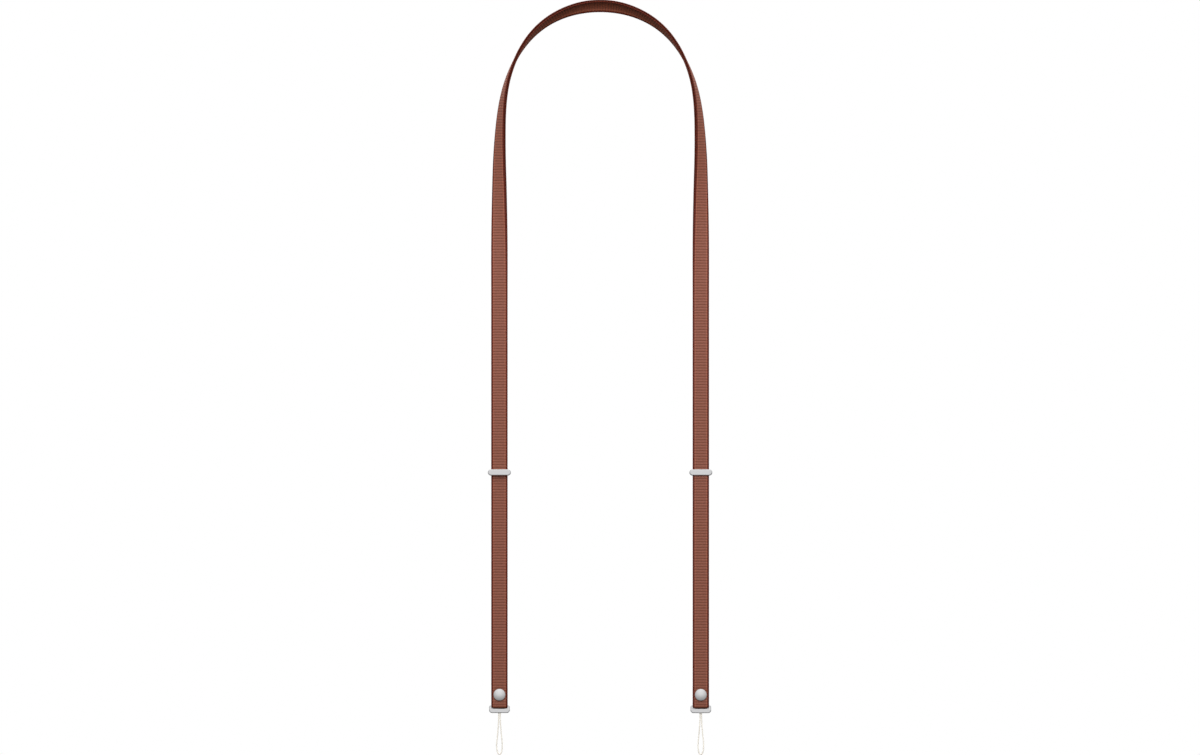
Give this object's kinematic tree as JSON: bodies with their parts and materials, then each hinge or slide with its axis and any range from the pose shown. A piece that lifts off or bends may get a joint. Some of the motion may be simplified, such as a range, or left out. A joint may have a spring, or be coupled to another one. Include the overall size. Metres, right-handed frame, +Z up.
{
  "type": "crossbody strap",
  "caption": "Adjustable crossbody strap of two overlapping webbing bands with metal sliders, end rings, studs and cord loops, shown hanging from its top.",
  "frame": {"origin": "inner face of the webbing at the top of the arch, where the strap hangs on a shoulder", "axes": "+Z up, -Y towards the viewer, on whose side the legs show their outer face; +X to the viewer's right"},
  "size_m": [0.1732, 0.0128, 0.5827],
  "materials": {
    "webbing": "ribbed polyester webbing, red-brown, matt with a faint sheen",
    "metal": "stainless steel, smooth satin",
    "cord": "thin round braided cord, off-white"
  },
  "bodies": {
    "root": {"outer_webbing": "webbing", "inner_webbing": "webbing", "left_slider": "metal", "right_slider": "metal", "left_end_ring": "metal", "right_end_ring": "metal", "left_stud_cap": "metal", "right_stud_cap": "metal", "left_stud_washer": "metal", "right_stud_washer": "metal", "left_cord_loop": "cord", "right_cord_loop": "cord"}
  },
  "joints": []
}
